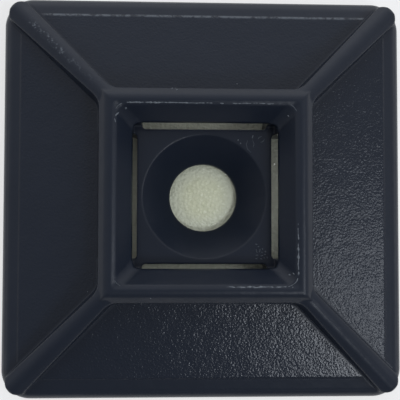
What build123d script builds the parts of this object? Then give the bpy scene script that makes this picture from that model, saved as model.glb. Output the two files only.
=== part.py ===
from build123d import *
import math
import os

os.makedirs("parts", exist_ok=True)

# Four-way cable tie mount: a moulded nylon body on a square of double-coated foam,
# whose lower adhesive face is covered by a peel-off paper liner.
# Millimetres, +Z up. The origin is the middle of the liner's underside.

# Liner and foam
liner_thickness = 0.12
liner_overhang = 0.25
foam_thickness = 1.0
foam_inset = 0.7
foam_corner_radius = 1.4

# Plate of the body: a rounded rim, then four ramps that climb to the middle
side = 28.0
corner_radius = 2.0
rim_height = 1.3
rim_round = 0.9
ramp_start_tilt = 6.0
floor_rise = 1.1

# Tie tunnels, the webs that carry the boss between them, and the slots seen round the boss
tunnel_width = 8.6
tunnel_height = 1.35
tunnel_corner_radius = 0.3
corner_web = 0.32
slot_gap = 0.26

# Raised frame: a square ring round the well, and a rib running down from each of its corners
ring_rise = 2.75
well_wall_run = 1.12
well_corner_radius = 0.8
ring_top_band = 0.55
ring_outer_run = 0.9
frame_draft = 5.0
inner_corner_radius = 1.0
ring_roof_slope = 45.0
ring_top_round = 0.6
crest_bevel_run = 0.17
crest_bevel_drop = 0.12
rib_width = 1.85
rib_roof_slope = 60.0
rib_crest_round = 0.8
rib_end_height = 2.2
rib_end_setback = 0.1
rib_end_ease = 0.1

# Countersunk screw hole
hole_diameter = 4.75
countersink_diameter = 8.55
countersink_angle = 90.0

# Heights above the underside of the body
floor_height = rim_height + floor_rise
bar_underside = floor_height + tunnel_height
crest_height = floor_height + ring_rise

# Widths across the middle, from the boss outwards
boss_width = tunnel_width + 2 * corner_web
well_width = boss_width + 2 * slot_gap
crest_width = well_width + 2 * well_wall_run
ring_top_width = crest_width + 2 * ring_top_band
ring_width = ring_top_width + 2 * ring_outer_run

# The frame's walls rise from the foot of the rim's rounding, so no rib end hangs over the rim.
# The ring's outer walls lean in, so they are narrower at the floor and under the bars.
frame_foot = rim_height - rim_round
lean = math.tan(math.radians(frame_draft))
ring_at_floor = ring_width - 2 * lean * (floor_height - frame_foot)
ring_at_bars = ring_width - 2 * lean * (bar_underside - frame_foot)

# The ramps start where the rim's rounding is nearly as steep as they are, so the two run together
ramp_inset = rim_round * (1 - math.sin(math.radians(ramp_start_tilt)))
ramp_start = rim_height - rim_round * (1 - math.cos(math.radians(ramp_start_tilt)))
ramp_fall = (floor_height - ramp_start) / (side / 2 - ramp_inset - ring_at_floor / 2)

# The ribs stop just short of the plate's corners, and their ends are a little rounder than they are wide
rib_reach = (side / 2 - corner_radius) * math.sqrt(2) + corner_radius - rib_end_setback
rib_end_width = rib_width + 2 * rib_end_ease
end_width = side - 2 * rim_round
end_radius = max(corner_radius - rim_round, rim_round / 2)

# How far a cutting solid runs past what it cuts
past = 1.0


def rounded_square(width, radius, low, high):
    """A square prism with rounded upright edges, from one height to another."""
    outline = Plane.XY.offset(low) * RectangleRounded(width, width, radius)
    return extrude(outline, amount=high - low)


def frustum(low_width, low, high_width, high):
    """A square solid whose width changes evenly between two heights."""
    reach = max(low_width, high_width) / 2
    section = Polyline(
        (-low_width / 2, low),
        (low_width / 2, low),
        (high_width / 2, high),
        (-high_width / 2, high),
        close=True,
    )
    bar = extrude(Plane.XZ * make_face(section), amount=reach, both=True)
    return bar & Rot(0, 0, 90) * bar


def rounded_frustum(low_width, low, high_width, high, radius):
    """A square solid like a frustum, with its four leaning edges rounded."""
    solid = frustum(low_width, low, high_width, high)
    level = solid.edges().filter_by(Plane.XY)
    return fillet([e for e in solid.edges() if e not in level], radius)


def rounded_block(height):
    """The plate's outline up to some height, with its upper edge rounded over."""
    block = rounded_square(side, corner_radius, 0, height)
    return fillet(block.faces().sort_by(Axis.Z)[-1].edges(), rim_round)


def plate():
    """Rounded rim, and four ramps that end level with the floor of the well."""
    root_run = rim_round * math.sin(math.radians(ramp_start_tilt)) / 2
    ramps = frustum(
        side - 2 * (ramp_inset - root_run), ramp_start - root_run * ramp_fall, ring_at_floor, floor_height
    )
    return rounded_block(rim_height) + ramps


def frame_walls():
    """The ring and ribs in plan, drawn up with draft to the height of the crest."""
    past_corners = side * 2
    rib = Rectangle(past_corners, rib_width)
    plan = Rectangle(ring_width, ring_width) + Rot(0, 0, 45) * rib + Rot(0, 0, -45) * rib
    junctions = [v for v in plan.vertices() if abs(v.X) < side / 2 and abs(v.Y) < side / 2]
    plan = fillet(junctions, inner_corner_radius)
    return extrude(Plane.XY.offset(frame_foot) * plan, amount=crest_height - frame_foot, taper=frame_draft)


def ring_roof():
    """Flat top of the ring, with bevelled outer sides and a rounded edge between."""
    spread = 2 * crest_height * math.tan(math.radians(ring_roof_slope))
    roof = frustum(ring_top_width + spread, 0, ring_top_width, crest_height)
    return fillet(roof.faces().sort_by(Axis.Z)[-1].edges(), ring_top_round)


def rib_roof():
    """A roof with a rounded ridge, which falls from the ring's corner to the plate's corner."""
    start = crest_width / math.sqrt(2)
    end = (end_width / 2 - end_radius) * math.sqrt(2) + end_radius
    fall = crest_height - rib_end_height
    length = math.hypot(end - start, fall)
    drop = 2 * crest_height
    spread = drop * math.tan(math.radians(rib_roof_slope))
    lift = rib_crest_round / math.sin(math.radians(rib_roof_slope)) - rib_crest_round
    section = make_face(Polyline((0, lift), (spread, lift - drop), (-spread, lift - drop), close=True))
    section = fillet(section.vertices().sort_by(Axis.Y)[-1], rib_crest_round)
    ridge = Plane(origin=(start, 0, crest_height), x_dir=(0, 1, 0), z_dir=(end - start, 0, -fall))
    return extrude(ridge * section, amount=2 * length) + extrude(ridge * section, amount=-length)


def rib_ends():
    """Keeps the ribs inside the plate's outline, with outer ends round in plan and rounded over."""
    core = rounded_square(end_width, end_radius, 0, crest_height)
    slot = Plane.XY.offset(frame_foot) * SlotOverall(2 * rib_reach, rib_end_width)
    stop = extrude(slot, amount=crest_height - frame_foot, taper=frame_draft)
    junction_run = 2 * inner_corner_radius
    middle_width = ring_width + 2 * junction_run
    middle = Box(middle_width, middle_width, 2 * crest_height)
    return (rounded_block(rib_end_height) + core) & (Rot(0, 0, 45) * stop + Rot(0, 0, -45) * stop + middle)


def raised_frame():
    """Drafted walls under the ring's roof and the four rib roofs."""
    roof = ring_roof()
    for turn in (45, 135, 225, 315):
        roof += Rot(0, 0, turn) * rib_roof()
    return frame_walls() & roof & rib_ends()


def well():
    """The square well: upright at the bottom, then slanting out to a bevelled crest."""
    lower = Pos(0, 0, floor_height) * Box(
        well_width, well_width, tunnel_height, align=(Align.CENTER, Align.CENTER, Align.MIN)
    )
    spread = (crest_width - well_width) / (crest_height - bar_underside)
    top = crest_height + past
    slants = rounded_frustum(
        well_width, bar_underside, crest_width + spread * past, top, well_corner_radius
    )
    bevel_foot = crest_height - crest_bevel_drop
    foot_width = crest_width - spread * crest_bevel_drop
    bevel_width = crest_width + 2 * crest_bevel_run
    bevel_spread = (bevel_width - foot_width) / crest_bevel_drop
    bevel = rounded_frustum(
        foot_width, bevel_foot, bevel_width + bevel_spread * past, top, well_corner_radius
    )
    return lower + slants + bevel


def tunnel():
    """A window through the plate beside the boss, and the tie's way out under the bar."""
    inner = boss_width / 2
    outer = ring_at_bars / 2
    window = Pos(0, (inner + outer) / 2) * Rectangle(tunnel_width, outer - inner)
    window = fillet(window.vertices(), tunnel_corner_radius)
    shaft = extrude(Plane.XY.offset(-past) * window, amount=bar_underside + past)
    middle = (inner + outer) / 2
    mouth = Pos(0, middle, floor_height) * Box(
        tunnel_width,
        ring_width - middle,
        tunnel_height,
        align=(Align.CENTER, Align.MIN, Align.MIN),
    )
    return shaft + mouth


def screw_hole():
    """Clearance hole with a countersink sunk from the top of the boss."""
    hole = Pos(0, 0, floor_height / 2) * Cylinder(hole_diameter / 2, floor_height + 2 * past)
    depth = (countersink_diameter - hole_diameter) / 2 / math.tan(math.radians(countersink_angle / 2))
    cone = Cone(
        hole_diameter / 2,
        countersink_diameter / 2,
        depth,
        align=(Align.CENTER, Align.CENTER, Align.MIN),
    )
    return hole + Pos(0, 0, floor_height - depth) * cone


def mount_body():
    """The moulded body, standing on the foam."""
    body = plate() + raised_frame() - well() - screw_hole()
    for turn in (0, 90, 180, 270):
        body -= Rot(0, 0, turn) * tunnel()
    return Pos(0, 0, liner_thickness + foam_thickness) * body


def foam_pad():
    """Closed-cell foam with adhesive on both faces; it runs on under the hole."""
    width = side - 2 * foam_inset
    return rounded_square(width, foam_corner_radius, liner_thickness, liner_thickness + foam_thickness)


def release_liner():
    """Paper that covers the lower adhesive face until the mount is fixed."""
    width = side - 2 * foam_inset + 2 * liner_overhang
    return rounded_square(width, foam_corner_radius + liner_overhang, 0, liner_thickness)


def main():
    pieces = {
        "mount_body": mount_body(),
        "foam_pad": foam_pad(),
        "release_liner": release_liner(),
    }
    for name, shape in pieces.items():
        export_step(shape, f"parts/{name}.step")
        print(name, "solids", len(shape.solids()), "volume", round(shape.volume, 1), "valid", shape.is_valid)


main()
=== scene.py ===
import math

import bpy
from mathutils import Matrix, Vector, noise

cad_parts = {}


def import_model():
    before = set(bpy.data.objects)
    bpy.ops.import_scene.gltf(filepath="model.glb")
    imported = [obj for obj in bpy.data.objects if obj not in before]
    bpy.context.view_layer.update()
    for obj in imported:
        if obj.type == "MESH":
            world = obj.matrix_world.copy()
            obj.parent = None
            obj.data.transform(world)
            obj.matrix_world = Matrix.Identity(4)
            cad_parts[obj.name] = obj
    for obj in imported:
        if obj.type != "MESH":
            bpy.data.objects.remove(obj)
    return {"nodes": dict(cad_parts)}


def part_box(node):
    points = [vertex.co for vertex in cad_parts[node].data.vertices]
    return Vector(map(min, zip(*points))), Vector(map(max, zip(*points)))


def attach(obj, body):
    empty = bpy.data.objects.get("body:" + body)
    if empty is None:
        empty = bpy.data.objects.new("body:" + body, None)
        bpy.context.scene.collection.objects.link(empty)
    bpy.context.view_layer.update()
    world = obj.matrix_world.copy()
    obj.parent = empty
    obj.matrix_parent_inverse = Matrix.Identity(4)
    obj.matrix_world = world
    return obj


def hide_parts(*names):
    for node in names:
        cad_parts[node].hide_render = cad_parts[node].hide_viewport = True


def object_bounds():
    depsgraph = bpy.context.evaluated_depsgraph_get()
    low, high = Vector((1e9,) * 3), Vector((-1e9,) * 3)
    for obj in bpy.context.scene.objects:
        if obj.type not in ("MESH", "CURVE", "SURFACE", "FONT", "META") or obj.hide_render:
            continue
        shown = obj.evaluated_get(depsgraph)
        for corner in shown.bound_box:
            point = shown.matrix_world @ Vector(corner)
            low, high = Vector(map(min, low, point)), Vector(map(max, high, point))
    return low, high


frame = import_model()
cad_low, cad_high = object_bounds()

MM = 0.001

# The mount's plan, in millimetres from its middle. The ramp on the near side ends a little sooner.
RING_FOOT = 7.28
RAMP_END = 12.87
NEAR_RAMP_SHORT = 0.22
RIB_HALF_WIDTH = 0.95

# The ramps' grain: its depth, how far its field stands proud, and the width of the step round it
GRAIN_DEPTH = 0.013
GRAIN_RISE = 0.07
GRAIN_STEP = 0.2
GRAIN_FADE = 0.08

# Its pebbles, and the finer noise over them. The scale of a pattern is in cells to a millimetre.
PEBBLE_SCALE = 7.0
PEBBLE_NOISE_SCALE = 8.5

# Beyond the grain the plate starts to round over a little before its rim: how far, and how steeply
EARLY_ROUND = 0.75
EARLY_FALL = 0.17

# The nylon's softened edges, its slow ripple and its satin
EDGE_SOFTNESS = 0.22
RIPPLE_SCALE = 0.9
RIPPLE_DEPTH = 0.03
SATIN_SCALE = 8.0
SATIN_DEPTH = 0.004

# The scuffs on one rib. They run along its diagonal, from nothing to full strength over a long stretch and
# back over a short one, and fade to each side of its ridge. Specks show where a noise passes a threshold.
SCUFFS_START, SCUFFS_FULL = 13.5, 22.0
SCUFFS_FADE, SCUFFS_END = 23.5, 24.5
SCUFFS_CORE, SCUFFS_EDGE = 0.10, 0.30
SCUFF_SPECKS = (0.50, 0.68)
SCUFF_SCALE = 4.0
SCUFF_DEPTH = 0.02

# The broken pale line along the edge of the far ramp's grain, a painted highlight where its step catches
# the light: its reach inward, and its specks
GLINT_REACH = 1.4 * GRAIN_STEP
GLINT_SPECKS = (0.35, 0.6)
GLINT_SCALE = 3.0

# The line of mould flash along the ring's inner crest. It sinks where it is weak, and is weak at corners.
FLASH_HALF_WIDTH = 6.03
FLASH_CORNER = 0.8
FLASH_HEIGHT = 6.195
FLASH_STEPS = 200
FLASH_THINNEST = 0.012
FLASH_THICKEST = 0.12
FLASH_TALLEST = 0.07
FLASH_WANDER = 0.05
FLASH_WANDER_SCALE = 2.3
FLASH_BREAK_SCALE = 5.5
FLASH_SINK = 0.04
FLASH_AT_CORNERS = 0.4

# Where the flash is strongest: x and y in plan, how far it runs each way, and how strong it is there
FLASH_SPOTS = [
    (-4.2, 6.0, 1.3, 1.0),
    (-1.2, 6.0, 2.4, 0.5),
    (3.4, 6.0, 2.2, 0.42),
    (6.0, -3.8, 1.8, 0.75),
    (3.6, -6.0, 2.4, 0.8),
]

# Small torn or rubbed spots: the places in plan that each runs through, and its half width
NICKS = [
    ([(-5.34, 5.72), (-5.26, 5.64)], 0.075),
    ([(-5.98, 5.12), (-5.85, 5.30), (-5.74, 5.40)], 0.055),
    ([(-6.02, 4.95), (-5.96, 4.70)], 0.03),
    ([(5.45, -5.22), (5.56, -5.28)], 0.055),
    ([(5.70, -5.10), (5.80, -5.22)], 0.04),
    ([(5.60, -6.06), (5.70, -6.03)], 0.04),
    ([(-7.96, -6.47), (-7.90, -6.52)], 0.04),
    ([(-3.63, -6.72), (-3.60, -6.80)], 0.035),
    ([(2.20, 7.80), (2.30, 7.84)], 0.04),
    ([(-2.32, 7.00), (-2.12, 7.16), (-2.02, 7.02)], 0.035),
    ([(-2.02, 6.90), (-1.88, 6.98)], 0.03),
    ([(9.96, -5.62), (10.10, -5.58)], 0.04),
    ([(2.26, 3.93), (2.36, 3.89)], 0.065),
    ([(2.46, 3.72), (2.52, 3.66)], 0.045),
    ([(3.36, 4.26), (3.28, 4.02)], 0.03),
    ([(5.42, 5.34), (5.52, 5.24)], 0.05),
]

# Faint raised lines and dashes on two corners of the boss, given in the same way
RAISED_LINES = [
    ([(2.98, 3.90), (2.88, 3.62), (2.96, 3.30), (3.22, 3.04)], 0.022),
    ([(3.30, 3.95), (3.42, 3.66), (3.34, 3.40)], 0.020),
    ([(3.70, 3.98), (3.78, 4.12), (3.96, 4.17)], 0.022),
    ([(4.13, 4.02), (4.11, 3.90), (4.00, 3.79), (3.84, 3.78)], 0.020),
    ([(3.50, -3.25), (3.66, -3.28)], 0.03),
    ([(3.55, -3.60), (3.62, -3.85)], 0.035),
    ([(3.84, -3.56), (3.78, -3.82)], 0.03),
    ([(4.16, -3.72), (4.24, -3.82)], 0.055),
    ([(3.52, -4.02), (3.72, -4.00)], 0.03),
    ([(3.86, -4.06), (4.04, -4.02)], 0.03),
    ([(3.50, -4.24), (3.66, -4.26)], 0.035),
    ([(3.84, -4.24), (4.00, -4.30)], 0.03),
    ([(4.30, -4.10), (4.34, -4.24)], 0.03),
    ([(3.66, -3.44), (3.78, -3.42)], 0.03),
    ([(3.98, -3.52), (4.02, -3.66)], 0.035),
    ([(4.12, -3.94), (4.22, -3.98)], 0.035),
    ([(3.66, -4.12), (3.70, -4.16)], 0.03),
    ([(4.06, -4.18), (4.18, -4.22)], 0.035),
    ([(3.92, -3.78), (4.00, -3.84)], 0.03),
]

# How the marks are made: points this far apart, uneven and tapered beads, and how proud they stand
MARK_STEP = 0.03
MARK_UNEVENNESS = 0.35
MARK_TIP = 0.15
MARK_RISE = 0.6

# How many flat sides a bead has
BEAD_SIDES = 6

# The nylon's two shades, which run in slow patches
NYLON_PATCH_SCALE = 0.35
NYLON_DARK = (0.0080, 0.0125, 0.0225)
NYLON_LIGHT = (0.0105, 0.0155, 0.0275)

# Its paler colours: a dim painted highlight on the raised lines, whitened nylon with a painted highlight on
# the flash and nicks, and a rubbed colour for the rib's worn scuffs and the far edge's painted highlight
DIM_PAINTED_HIGHLIGHT = (0.03, 0.038, 0.05)
WHITENED_AND_GLINT = (0.07, 0.085, 0.105)
RUBBED_AND_GLINT = (0.09, 0.105, 0.125)
TORN_AND_GLINT = (0.16, 0.18, 0.20)

# How rough the nylon is on the frame, on the ramps' grain and on the rim
FRAME_ROUGHNESS = 0.31
GRAIN_ROUGHNESS = 0.20
RIM_ROUGHNESS = 0.34

# The flash's, nicks' and raised lines' own surface
PALE_PATCH_SCALE = 4.0
PALE_BUMP_SCALE = 9.0
PALE_BUMP_DEPTH = 0.02
PALE_ROUGHNESS = 0.3

# The foam pad's mesh. It swells a little into the screw hole.
FOAM_CORNER = 1.4
FOAM_CELL = 0.20
FOAM_LAYERS = 5
FOAM_PULL_IN = 0.10
FOAM_PULL_IN_SCALE = 2.5
FOAM_DIMPLE = 0.05
FOAM_DIMPLE_SCALE = 2.2
FOAM_SWELL = 0.20
HOLE_RADIUS = 2.375

# Its bubbles, with the finer noise over them, and its slow patches of another shade
FOAM_BUBBLE_SCALE = 4.2
FOAM_BUBBLE_DEPTH = 0.06
FOAM_FINE_SCALE = 8.0
FOAM_FINE_DEPTH = 0.03
FOAM_PATCH_SCALE = 0.8
FOAM_BUBBLE = (0.86, 0.88, 0.62)
FOAM_WALL = (0.66, 0.68, 0.44)
FOAM_PATCH = (0.80, 0.81, 0.60)

# Painted shade makes it greyer by the hole's wall, from this far out, and painted light makes it paler
# beyond it, where the slots show it
FOAM_SHADE_START = 1.5
FOAM_SHADED = (0.66, 0.68, 0.52)
FOAM_PAINTED_LIGHT = (0.87, 0.88, 0.70)

# The liner's paper
FIBRE_SCALE = 3.0
FIBRE_DEPTH = 0.01
PAPER_DARK = (0.70, 0.69, 0.64)
PAPER_LIGHT = (0.80, 0.79, 0.75)

# The camera looks down on the mount from a little left of its middle and a little towards its near side.
# Its places and its near limit are in millimetres from the middle of the liner's underside.
CAMERA_PLACE = (-2.98, -2.75, 60.0)
CAMERA_AIM = (-0.19, -0.13, 1.12)
CAMERA_UP = (-0.002, 1.0, 0.0)
CAMERA_NEAR = 5.0
CAMERA_LENS = 74.3
SENSOR_WIDTH = 36.0

# The floor, in metres, lies a hair below the liner. It shows the camera a share of plain white.
FLOOR_SIZE = 2.0
FLOOR_GAP = 0.00002
FLOOR_COLOUR = (0.93, 0.93, 0.93)
FLOOR_WHITE = 0.6

# The room's light comes mostly from a wide window, and falls away from its direction all round.
# Straight overhead, above the ceiling's edge, it is dimmer.
WINDOW_LEVEL = 1.41
WINDOW_DIRECTION = (-0.046, 0.984, -0.174)
WINDOW_FOCUS = 0.89
CEILING_EDGE = 0.93
CEILING_LEVEL = 0.7
ROOM_COLOUR = (0.97, 0.99, 1.04)

# Two small soft lamps, by direction, size in metres and power in watts
LAMP_DISTANCE = 0.28
LAMP_COLOUR = (0.94, 1.0, 1.08)
LAMPS = {
    "near_lamp": ((0.345, -0.475, 0.810), 0.062, 0.135),
    "right_lamp": ((0.623, -0.122, 0.773), 0.055, 0.064),
}


class Graph:
    """Short calls for building one node tree."""

    def __init__(self, tree):
        self.tree = tree
        tree.nodes.clear()

    def give(self, socket, value):
        """Links a socket to another node's output, or sets its own value."""
        if isinstance(value, bpy.types.NodeSocket):
            self.tree.links.new(value, socket)
        elif socket.type == "RGBA" and len(value) == 3:
            socket.default_value = (*value, 1.0)
        else:
            socket.default_value = value

    def node(self, kind, settings=None, **sockets):
        """Adds a node with its settings, and gives its inputs by name with _ for a space."""
        made = self.tree.nodes.new("ShaderNode" + kind)
        for name, value in (settings or {}).items():
            setattr(made, name, value)
        for name, value in sockets.items():
            self.give(made.inputs[name.replace("_", " ")], value)
        return made

    def math(self, operation, first, second=0.0, third=0.0):
        made = self.node("Math", {"operation": operation})
        self.give(made.inputs[0], first)
        self.give(made.inputs[1], second)
        self.give(made.inputs[2], third)
        return made.outputs[0]

    def step(self, value, low, high, to_low=0.0, to_high=1.0):
        """Goes smoothly from to_low to to_high as value goes from low to high."""
        made = self.node("MapRange", {"interpolation_type": "SMOOTHSTEP"}, Value=value, From_Min=low,
                         From_Max=high, To_Min=to_low, To_Max=to_high)
        return made.outputs[0]

    def mix(self, factor, first, second):
        made = self.node("Mix", {"data_type": "RGBA"})
        self.give(made.inputs[0], factor)
        self.give(made.inputs[6], first)
        self.give(made.inputs[7], second)
        return made.outputs[2]

    def noise(self, place, scale, detail=2.0, roughness=0.5):
        made = self.node("TexNoise", {}, Vector=place, Scale=scale, Detail=detail, Roughness=roughness)
        return made.outputs["Fac"]

    def place(self):
        """The point's place on the piece, in millimetres."""
        point = self.node("TexCoord").outputs["Object"]
        made = self.node("VectorMath", {"operation": "SCALE"}, Vector=point, Scale=1.0 / MM)
        return made.outputs[0]

    def bump(self, height, depth, normal=None):
        """Raises the surface by depth millimetres where height is 1."""
        made = self.node("Bump", {}, Height=height, Distance=depth * MM, Strength=1.0)
        if normal is not None:
            self.give(made.inputs["Normal"], normal)
        return made.outputs[0]

    def turn(self, factor, first, second):
        """Turns one normal towards another."""
        mixed = self.node("Mix", {"data_type": "VECTOR"})
        self.give(mixed.inputs[0], factor)
        self.give(mixed.inputs[4], first)
        self.give(mixed.inputs[5], second)
        made = self.node("VectorMath", {"operation": "NORMALIZE"}, Vector=mixed.outputs[1])
        return made.outputs[0]

    def surface(self, shader):
        output = self.node("OutputMaterial")
        self.give(output.inputs["Surface"], shader)


def new_material(name):
    """An empty material, and the graph that builds it."""
    material = bpy.data.materials.new(name)
    material.use_nodes = True
    return material, Graph(material.node_tree)


def grain_field(graph, place, reach):
    """Height of the grain on a ramp: 1 inside, falling to 0 over the step at its outer edge."""
    pebbles = graph.node("TexVoronoi", {"feature": "SMOOTH_F1"}, Vector=place, Scale=PEBBLE_SCALE)
    fine = graph.noise(place, PEBBLE_NOISE_SCALE, 1.0)
    pebbles = graph.math("SUBTRACT", fine, pebbles.outputs["Distance"])
    field = graph.math("MULTIPLY_ADD", pebbles, GRAIN_DEPTH / GRAIN_RISE, 1.0)
    return graph.math("MULTIPLY", field, graph.step(reach, RAMP_END, RAMP_END - GRAIN_STEP))


def rib_scuffs(graph, place, x, y, off_rib):
    """Specks along the ridge of the rib that runs to the far left corner."""
    along = graph.math("SUBTRACT", y, x)
    area = graph.math("MULTIPLY", graph.step(along, SCUFFS_START, SCUFFS_FULL),
                      graph.step(along, SCUFFS_END, SCUFFS_FADE))
    area = graph.math("MULTIPLY", area, graph.step(off_rib, SCUFFS_EDGE, SCUFFS_CORE))
    specks = graph.step(graph.noise(place, SCUFF_SCALE, 2.0, 0.7), *SCUFF_SPECKS)
    return graph.math("MULTIPLY", specks, area)


def far_edge_glint(graph, place, y):
    """A broken painted highlight where the far ramp's grain ends."""
    middle = RAMP_END - GRAIN_STEP / 2
    line = graph.math("MULTIPLY", graph.step(y, RAMP_END, middle),
                      graph.step(y, RAMP_END - GLINT_REACH, middle))
    specks = graph.step(graph.noise(place, GLINT_SCALE, 2.0, 0.7), *GLINT_SPECKS)
    return graph.math("MULTIPLY", line, specks)


def nylon():
    """Black nylon: spark-eroded grain on the ramps, satin on the frame, softened edges."""
    material, graph = new_material("nylon_black")
    place = graph.place()
    x, y, _ = graph.node("SeparateXYZ", {}, Vector=place).outputs
    across = graph.math("ABSOLUTE", x)
    along = graph.math("ABSOLUTE", y)
    outward = graph.math("MAXIMUM", across, along)
    inward = graph.math("MINIMUM", across, along)
    off_rib = graph.math("MULTIPLY", graph.math("SUBTRACT", outward, inward), math.sqrt(0.5))
    beside_rib = graph.step(off_rib, RIB_HALF_WIDTH, RIB_HALF_WIDTH + GRAIN_FADE)
    on_ramp = graph.math("MULTIPLY", graph.step(outward, RING_FOOT, RING_FOOT + GRAIN_FADE), beside_rib)
    near_side = graph.step(y, 0.0, -1.0, 0.0, NEAR_RAMP_SHORT)
    reach = graph.math("MAXIMUM", across, graph.math("ADD", along, near_side))

    soft = graph.node("Bevel", {"samples": 8}, Radius=EDGE_SOFTNESS * MM).outputs[0]
    rippled = graph.bump(graph.noise(place, RIPPLE_SCALE, 2.0), RIPPLE_DEPTH, soft)
    scuffs = rib_scuffs(graph, place, x, y, off_rib)
    satin = graph.bump(graph.noise(place, SATIN_SCALE, 3.0, 0.6), SATIN_DEPTH, rippled)
    satin = graph.bump(scuffs, SCUFF_DEPTH, satin)
    past = graph.math("MAXIMUM", graph.math("SUBTRACT", reach, RAMP_END), 0.0)
    rounded = graph.bump(graph.math("MINIMUM", past, EARLY_ROUND), -EARLY_FALL, rippled)
    grained = graph.bump(grain_field(graph, place, reach), GRAIN_RISE, rounded)

    # The far edge's line: a painted highlight, paler only on the far side where the light falls.
    far_glint = graph.math("MULTIPLY", far_edge_glint(graph, place, y), beside_rib)
    shade = graph.mix(graph.noise(place, NYLON_PATCH_SCALE, 3.0), NYLON_DARK, NYLON_LIGHT)
    # Scuffs on the rib are worn paler; the far edge's line takes the same pale colour as a painted
    # highlight.
    shade = graph.mix(graph.math("MAXIMUM", scuffs, far_glint), shade, RUBBED_AND_GLINT)
    gloss = graph.step(reach, RAMP_END - GRAIN_STEP, RAMP_END, GRAIN_ROUGHNESS, RIM_ROUGHNESS)
    gloss = graph.step(on_ramp, 0.0, 1.0, FRAME_ROUGHNESS, gloss)
    shader = graph.node("BsdfPrincipled", {}, Base_Color=shade, Normal=graph.turn(on_ramp, satin, grained),
                        Specular_IOR_Level=0.3, Roughness=gloss)
    graph.surface(shader.outputs[0])
    return material


def pale_nylon(name, dark, light):
    """The same nylon where it is thin, torn or rubbed: paler, partly from whitening and partly as painted
    highlight, and a little shinier.
    """
    material, graph = new_material(name)
    place = graph.place()
    shade = graph.mix(graph.noise(place, PALE_PATCH_SCALE, 3.0, 0.7), dark, light)
    uneven = graph.bump(graph.noise(place, PALE_BUMP_SCALE, 3.0, 0.6), PALE_BUMP_DEPTH)
    shader = graph.node("BsdfPrincipled", {}, Base_Color=shade, Roughness=PALE_ROUGHNESS, Normal=uneven)
    graph.surface(shader.outputs[0])
    return material


def make_piece(name, points, faces, material):
    """A smooth mesh piece, given in millimetres, that belongs to the mount."""
    mesh = bpy.data.meshes.new(name)
    mesh.from_pydata([Vector(point) * MM for point in points], [], faces)
    mesh.materials.append(material)
    mesh.validate()
    mesh.shade_smooth()
    made = bpy.data.objects.new(name, mesh)
    bpy.context.scene.collection.objects.link(made)
    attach(made, "root")
    return made


def round_square(u, v, half, radius):
    """Maps a square from -1 to 1 onto one with rounded corners."""
    straight = half - radius
    x, y = u * half, v * half
    over_x, over_y = abs(x) - straight, abs(y) - straight
    if over_x > 0 and over_y > 0:
        shrink = max(over_x, over_y) / math.hypot(over_x, over_y)
        x = math.copysign(straight + over_x * shrink, x)
        y = math.copysign(straight + over_y * shrink, y)
    return x, y


def foam_piece(material):
    """The foam pad: dimpled skins, and die-cut sides that draw in a little between them."""
    low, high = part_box("foam_pad")
    low, high = Vector(low) / MM, Vector(high) / MM
    half = (high.x - low.x) / 2
    cells = round(2 * half / FOAM_CELL)
    points = []
    faces = []
    index = {}

    def point(i, j, k):
        if (i, j, k) in index:
            return index[i, j, k]
        x, y = round_square(2 * i / cells - 1, 2 * j / cells - 1, half, FOAM_CORNER)
        share = k / FOAM_LAYERS
        z = low.z + (high.z - low.z) * share
        if i in (0, cells) or j in (0, cells):
            uneven = 0.5 + 0.5 * noise.noise(Vector((x, y, z)) * FOAM_PULL_IN_SCALE)
            shrink = 1 - FOAM_PULL_IN * math.sin(math.pi * share) ** 0.5 * (0.6 + 0.8 * uneven) / half
            x, y = x * shrink, y * shrink
        elif k == FOAM_LAYERS:
            z -= FOAM_DIMPLE * (0.5 + 0.5 * noise.noise(Vector((x, y, 0)) * FOAM_DIMPLE_SCALE))
            z += FOAM_SWELL * max(0.0, 1 - (math.hypot(x, y) / HOLE_RADIUS) ** 2)
        index[i, j, k] = len(points)
        points.append((x, y, z))
        return index[i, j, k]

    for i in range(cells):
        for j in range(cells):
            faces.append([point(*c, FOAM_LAYERS) for c in ((i, j), (i + 1, j), (i + 1, j + 1), (i, j + 1))])
            faces.append([point(*c, 0) for c in ((i, j), (i, j + 1), (i + 1, j + 1), (i + 1, j))])
    for k in range(FOAM_LAYERS):
        for i in range(cells):
            faces.append([point(i, 0, k), point(i + 1, 0, k), point(i + 1, 0, k + 1), point(i, 0, k + 1)])
            faces.append([point(i + 1, cells, k), point(i, cells, k), point(i, cells, k + 1),
                          point(i + 1, cells, k + 1)])
            faces.append([point(0, i + 1, k), point(0, i, k), point(0, i, k + 1), point(0, i + 1, k + 1)])
            faces.append([point(cells, i, k), point(cells, i + 1, k), point(cells, i + 1, k + 1),
                          point(cells, i, k + 1)])
    made = make_piece("foam_cushion", points, faces, material)
    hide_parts("foam_pad")
    return made


def flash_path(turn):
    """A point of the crest's square line, and its direction outward, as turn goes from 0 to 1."""
    straight = FLASH_HALF_WIDTH - FLASH_CORNER
    side = 2 * straight
    arc = math.pi / 2 * FLASH_CORNER
    run = (turn * 4) % 1 * (side + arc)
    angle = math.floor(turn * 4) * math.pi / 2
    if run < side:
        spot = Vector((FLASH_HALF_WIDTH, run - straight, 0))
        out = Vector((1, 0, 0))
    else:
        bend = (run - side) / FLASH_CORNER
        out = Vector((math.cos(bend), math.sin(bend), 0))
        spot = Vector((straight, straight, 0)) + out * FLASH_CORNER
    spin = Matrix.Rotation(angle, 3, "Z")
    return spin @ spot, spin @ out


def bead_ring(middle, across, radius, tallest):
    """Points round a bead, in the upright plane that holds the direction across."""
    ring = []
    for side in range(BEAD_SIDES):
        angle = 2 * math.pi * side / BEAD_SIDES
        ring.append(middle + across * radius * math.cos(angle) + Vector((0, 0, tallest * math.sin(angle))))
    return ring


def join_rings(here, after, leftward):
    """Outward faces between two rings of a bead.

    Each ring is given by the number of its first point, and leftward says whether that point lies to the
    left of the way from one ring to the other.
    """
    faces = []
    for side in range(BEAD_SIDES):
        beside = (side + 1) % BEAD_SIDES
        if leftward:
            faces.append([here + side, here + beside, after + beside, after + side])
        else:
            faces.append([here + side, after + side, after + beside, here + beside])
    return faces


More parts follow.
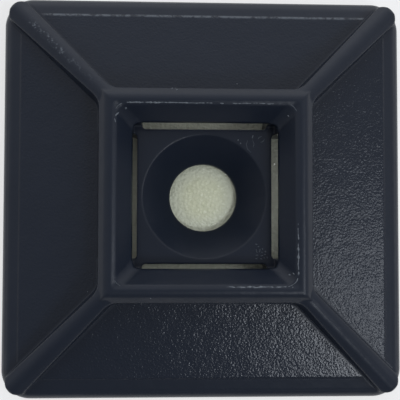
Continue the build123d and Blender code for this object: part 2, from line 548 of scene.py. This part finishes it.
def flash_piece(material):
    """A thin uneven bead of flash along the crest, broken and stronger in some places than others."""
    steps = 4 * FLASH_STEPS
    points = []
    faces = []
    for step in range(steps):
        spot, out = flash_path(step / steps)
        strength = sum(level * math.exp(-(math.hypot(spot.x - x, spot.y - y) / reach) ** 2)
                       for x, y, reach, level in FLASH_SPOTS)
        if min(abs(spot.x), abs(spot.y)) > FLASH_HALF_WIDTH - FLASH_CORNER:
            strength *= FLASH_AT_CORNERS
        wander = FLASH_WANDER * noise.noise(spot * FLASH_WANDER_SCALE)
        bits = max(0.0, noise.noise(spot * FLASH_BREAK_SCALE + Vector((9, 0, 0))) + 0.35)
        radius = FLASH_THINNEST + FLASH_THICKEST * min(1.0, strength) * min(1.0, bits)
        sink = FLASH_SINK * max(0.0, 1 - 2 * strength)
        middle = spot + out * wander + Vector((0, 0, FLASH_HEIGHT - sink))
        points += bead_ring(middle, out, radius, min(radius, FLASH_TALLEST))
        faces += join_rings(step * BEAD_SIDES, (step + 1) % steps * BEAD_SIDES, leftward=False)
    return make_piece("crest_flash", points, faces, material)


def spread_evenly(corners, gap):
    """Points along a line through the corners, about gap apart."""
    spots = []
    for start, end in zip(corners, corners[1:]):
        start, end = Vector(start), Vector(end)
        count = max(2, round((end - start).length / gap))
        spots += [start.lerp(end, step / count) for step in range(count)]
    return spots + [Vector(corners[-1])]


def surface_height(x, y):
    """The height of the body's upper surface, straight above or below a place in its plan."""
    body = frame["nodes"]["mount_body"]
    well_above = 1000
    hit, spot, *_ = body.ray_cast(Vector((x, y, well_above)) * MM, Vector((0, 0, -1)))
    return spot.z / MM


def marks_piece(name, marks, material):
    """Short tapered beads, half sunk into the body's surface."""
    points = []
    faces = []
    for corners, half_width in marks:
        spots = spread_evenly(corners, MARK_STEP)
        first = len(points)
        for number, spot in enumerate(spots):
            before = spots[max(number - 1, 0)]
            after = spots[min(number + 1, len(spots) - 1)]
            along = (after - before).normalized()
            share = 2 * number / (len(spots) - 1) - 1
            uneven = 1 + MARK_UNEVENNESS * noise.noise(Vector((spot.x, spot.y, 0)) * 9)
            radius = half_width * uneven * max(MARK_TIP, math.sqrt(max(0.0, 1 - share ** 4)))
            middle = Vector((spot.x, spot.y, surface_height(spot.x, spot.y)))
            across = Vector((-along.y, along.x, 0))
            points += bead_ring(middle, across, radius, MARK_RISE * radius)
        for number in range(len(spots) - 1):
            here = first + number * BEAD_SIDES
            faces += join_rings(here, here + BEAD_SIDES, leftward=True)
        last = len(points) - BEAD_SIDES
        faces.append([first + side for side in reversed(range(BEAD_SIDES))])
        faces.append([last + side for side in range(BEAD_SIDES)])
    return make_piece(name, points, faces, material)


def foam():
    """Cream closed-cell foam."""
    material, graph = new_material("foam_cream")
    place = graph.place()
    cells = graph.node("TexVoronoi", {}, Vector=place, Scale=FOAM_BUBBLE_SCALE).outputs["Distance"]
    fine = graph.noise(place, FOAM_FINE_SCALE, 2.0, 0.6)
    shade = graph.mix(graph.step(cells, 0.1, 0.6), FOAM_BUBBLE, FOAM_WALL)
    shade = graph.mix(graph.noise(place, FOAM_PATCH_SCALE, 2.0), shade, FOAM_PATCH)
    spread = graph.node("VectorMath", {"operation": "LENGTH"}, Vector=place).outputs["Value"]
    # Painted shade by the hole's wall, and painted light on the foam beyond it.
    shade = graph.mix(graph.step(spread, FOAM_SHADE_START, HOLE_RADIUS), shade, FOAM_SHADED)
    shade = graph.mix(graph.step(spread, HOLE_RADIUS, 1.5 * HOLE_RADIUS), shade, FOAM_PAINTED_LIGHT)
    skin = graph.bump(fine, FOAM_FINE_DEPTH, graph.bump(cells, -FOAM_BUBBLE_DEPTH))
    shader = graph.node("BsdfPrincipled", {}, Base_Color=shade, Roughness=0.6, Coat_Weight=0.5,
                        Coat_Roughness=0.12, Coat_Normal=skin, Normal=skin)
    graph.surface(shader.outputs[0])
    return material


def paper():
    """White siliconised release paper."""
    material, graph = new_material("liner_paper")
    place = graph.place()
    fibres = graph.noise(place, FIBRE_SCALE, 4.0, 0.7)
    shade = graph.mix(fibres, PAPER_DARK, PAPER_LIGHT)
    shader = graph.node("BsdfPrincipled", {}, Base_Color=shade, Roughness=0.5,
                        Normal=graph.bump(fibres, FIBRE_DEPTH))
    graph.surface(shader.outputs[0])
    return material


def floor():
    """A plain pale floor that shows white to the camera and keeps a soft shadow."""
    bpy.ops.mesh.primitive_plane_add(size=FLOOR_SIZE, location=(0, 0, cad_low.z - FLOOR_GAP))
    plane = bpy.context.object
    plane.name = "floor"
    material, graph = new_material("floor_white")
    rays = graph.node("LightPath")
    seen = graph.math("MAXIMUM", rays.outputs["Is Camera Ray"], rays.outputs["Is Glossy Ray"])
    seen = graph.math("MAXIMUM", seen, rays.outputs["Is Transmission Ray"])
    matte = graph.node("BsdfDiffuse", {}, Color=FLOOR_COLOUR).outputs[0]
    bright = graph.node("Emission", {}, Color=(1.0, 1.0, 1.0), Strength=1.0).outputs[0]
    both = graph.node("MixShader")
    graph.give(both.inputs[0], graph.math("MULTIPLY", seen, FLOOR_WHITE))
    graph.give(both.inputs[1], matte)
    graph.give(both.inputs[2], bright)
    graph.surface(both.outputs[0])
    plane.data.materials.append(material)


def camera():
    """The camera, aimed and turned upright."""
    data = bpy.data.cameras.new("camera")
    data.lens = CAMERA_LENS
    data.sensor_width = SENSOR_WIDTH
    data.clip_start = CAMERA_NEAR * MM
    made = bpy.data.objects.new("camera", data)
    bpy.context.scene.collection.objects.link(made)
    place = Vector(CAMERA_PLACE) * MM
    back = (place - Vector(CAMERA_AIM) * MM).normalized()
    right = Vector(CAMERA_UP).cross(back).normalized()
    up = back.cross(right)
    turn = Matrix((right, up, back)).transposed().to_4x4()
    made.matrix_world = Matrix.Translation(place) @ turn
    bpy.context.scene.camera = made


def lamp(name, direction, size, watts):
    """A soft square lamp that points at the mount from a direction."""
    data = bpy.data.lights.new(name, "AREA")
    data.size = size
    data.energy = watts
    data.color = LAMP_COLOUR
    made = bpy.data.objects.new(name, data)
    bpy.context.scene.collection.objects.link(made)
    away = Vector(direction).normalized()
    made.location = away * LAMP_DISTANCE
    made.rotation_euler = away.to_track_quat("Z", "Y").to_euler()


def world():
    """A pale room, brightest towards its window on the far side and dimmer straight overhead."""
    made = bpy.data.worlds.new("room")
    made.use_nodes = True
    bpy.context.scene.world = made
    graph = Graph(made.node_tree)
    direction = graph.node("TexCoord").outputs["Generated"]
    facing = graph.node("VectorMath", {"operation": "DOT_PRODUCT"})
    graph.give(facing.inputs[0], direction)
    graph.give(facing.inputs[1], WINDOW_DIRECTION)
    window = graph.math("MULTIPLY", graph.math("SUBTRACT", facing.outputs["Value"], 1.0), WINDOW_FOCUS)
    level = graph.math("MULTIPLY", graph.math("EXPONENT", window), WINDOW_LEVEL)
    height = graph.node("SeparateXYZ", {}, Vector=direction).outputs[2]
    level = graph.math("MULTIPLY", level, graph.step(height, CEILING_EDGE, 1.0, 1.0, CEILING_LEVEL))
    back = graph.node("Background", {}, Color=ROOM_COLOUR, Strength=level)
    output = graph.node("OutputWorld")
    graph.give(output.inputs["Surface"], back.outputs[0])


def dress(node, material):
    """Gives a CAD node its finished material."""
    shown = frame["nodes"][node]
    for slot in shown.material_slots:
        slot.material = material
    if not shown.material_slots:
        shown.data.materials.append(material)


black = nylon()
dress("mount_body", black)
foam_piece(foam())
# The flash and nicks: paler as whitened nylon and as a painted highlight.
torn_and_glint = pale_nylon("nylon_torn_and_glint", WHITENED_AND_GLINT, TORN_AND_GLINT)
flash_piece(torn_and_glint)
marks_piece("surface_nicks", NICKS, torn_and_glint)
# The raised lines: painted lighter as a painted highlight.
marks_piece("raised_lines", RAISED_LINES, pale_nylon("nylon_painted_highlight", DIM_PAINTED_HIGHLIGHT, WHITENED_AND_GLINT))
dress("release_liner", paper())
floor()
world()
for name, settings in LAMPS.items():
    lamp(name, *settings)
camera()
bpy.context.scene.view_settings.view_transform = "Standard"
